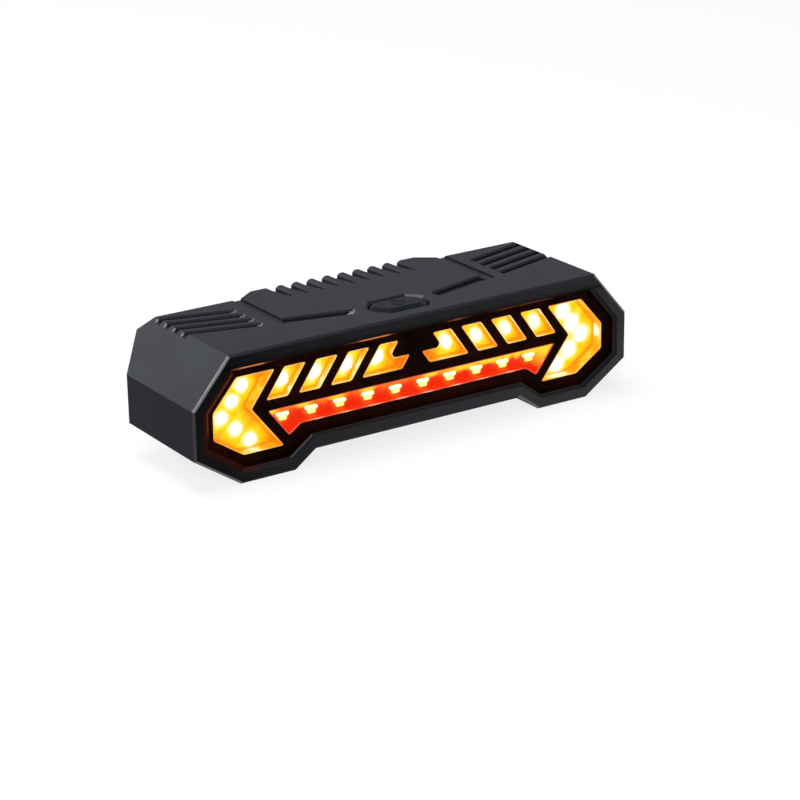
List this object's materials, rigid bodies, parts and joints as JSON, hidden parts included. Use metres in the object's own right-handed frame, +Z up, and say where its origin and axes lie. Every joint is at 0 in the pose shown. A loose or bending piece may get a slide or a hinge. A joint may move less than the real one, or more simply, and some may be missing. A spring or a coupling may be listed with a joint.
{
  "type": "bicycle turn signal light",
  "caption": "Wide faceted bicycle tail light on two feet, with lit amber turn arrows and slanted bars, a lit red brake bar, a top push button and a covered charging port at the back.",
  "frame": {"origin": "middle of the light's base, at the floor under its feet", "axes": "+X along the light's width, +Y to its back, +Z up; the lit window faces -Y"},
  "size_m": [0.11, 0.0342, 0.0284],
  "materials": {
    "housing_plastic": "fine spark-eroded grain",
    "clear_lens": "clear, polished",
    "mask_black": "gloss",
    "amber_tray": "lit amber from within",
    "red_tray": "lit red from within",
    "amber_lamp": "lit",
    "red_lamp": "lit",
    "seal_rubber": "matte",
    "foam": "matte",
    "board": "satin",
    "flex": "satin",
    "chip": "matte",
    "screw_steel": "satin",
    "shell_steel": "satin",
    "insert_brass": "satin",
    "plunger_plastic": "satin",
    "button_plastic": "satin",
    "battery_foil": "satin foil",
    "wire": "satin"
  },
  "bodies": {
    "light": {"main_housing": "housing_plastic", "front_lens": "clear_lens", "lens_seal": "seal_rubber", "window_mask": "mask_black", "left_turn_reflector": "amber_tray", "right_turn_reflector": "amber_tray", "brake_reflector": "red_tray", "lamp_board": "board", "left_turn_lamps": "amber_lamp", "right_turn_lamps": "amber_lamp", "brake_lamps_red": "red_lamp", "lamp_flex_cable": "flex", "control_board": "board", "control_board_parts": "chip", "control_board_screws": "screw_steel", "switch_body": "chip", "button_seal": "seal_rubber", "battery": "battery_foil", "battery_pad": "foam", "battery_wires": "wire", "charge_board": "board", "charge_board_screws": "screw_steel", "charge_wires": "wire", "usb_shell": "shell_steel", "usb_tongue": "chip", "rear_cover": "housing_plastic", "rear_cover_seal": "seal_rubber", "rear_cover_screws": "screw_steel", "bracket_inserts": "insert_brass"},
    "button": {"button_cap": "button_plastic", "button_clip": "screw_steel"},
    "plunger": {"switch_plunger": "plunger_plastic"},
    "flap": {"port_flap": "seal_rubber"}
  },
  "joints": [
    {"name": "button_press", "type": "slide", "parent": "light", "child": "button", "axis": [0, 0, -1], "range_m": [0, 0.0004], "stiffness_N_per_m": 1200},
    {"name": "plunger_press", "type": "slide", "parent": "light", "child": "plunger", "axis": [0, 0, -1], "range_m": [0, 0.0004]},
    {"name": "flap_hinge", "type": "hinge", "parent": "light", "child": "flap", "pos_m": [0.03775, 0.0105, 0.01456], "axis": [1, 0, 0], "range_deg": [0, 95]}
  ],
  "couplings": [
    {"joint": "plunger_press", "follows": "button_press", "ratio": 1}
  ]
}
